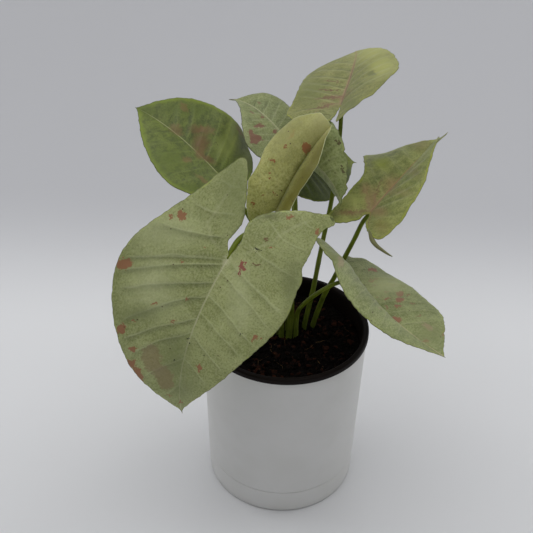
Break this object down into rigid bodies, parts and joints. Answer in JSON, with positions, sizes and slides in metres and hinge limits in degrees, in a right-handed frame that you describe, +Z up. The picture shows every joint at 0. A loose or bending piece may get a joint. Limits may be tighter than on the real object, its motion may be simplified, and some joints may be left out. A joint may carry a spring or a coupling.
{
  "type": "potted plant",
  "caption": "Potted syngonium with broad arrow-shaped leaves on slender stalks, in a brown grow pot set into a round white cover pot that stands in a matching drip tray.",
  "frame": {"origin": "middle of the drip tray's flat underside, where the object stands", "axes": "+Z up along the axis of the pots, -Y toward the viewer of the picture, +X to the viewer's right"},
  "size_m": [0.195, 0.1894, 0.2887],
  "materials": {
    "tray_white": "satin white",
    "cover_white": "satin white",
    "grow_brown": "dark brown, matt",
    "soil_brown": "loose dark potting soil with bark",
    "stalk_green": "smooth dark green stalk",
    "blade_pale": "sage green leaf with pale veins and pink flecks",
    "blade_green": "green leaf with a lime margin",
    "blade_dark": "dark green leaf"
  },
  "bodies": {
    "root": {"drip_tray": "tray_white", "cover_pot": "cover_white", "grow_pot": "grow_brown", "soil": "soil_brown", "stalk_front": "stalk_green", "stalk_left": "stalk_green", "stalk_rear": "stalk_green", "stalk_folded": "stalk_green", "stalk_top": "stalk_green", "stalk_right": "stalk_green", "stalk_low": "stalk_green", "stalk_shaded": "stalk_green", "stalk_inner": "stalk_green", "blade_front": "blade_pale", "blade_left": "blade_green", "blade_rear": "blade_green", "blade_folded": "blade_pale", "blade_top": "blade_pale", "blade_right": "blade_green", "blade_low": "blade_pale", "blade_shaded": "blade_green", "blade_inner": "blade_dark"}
  },
  "joints": []
}
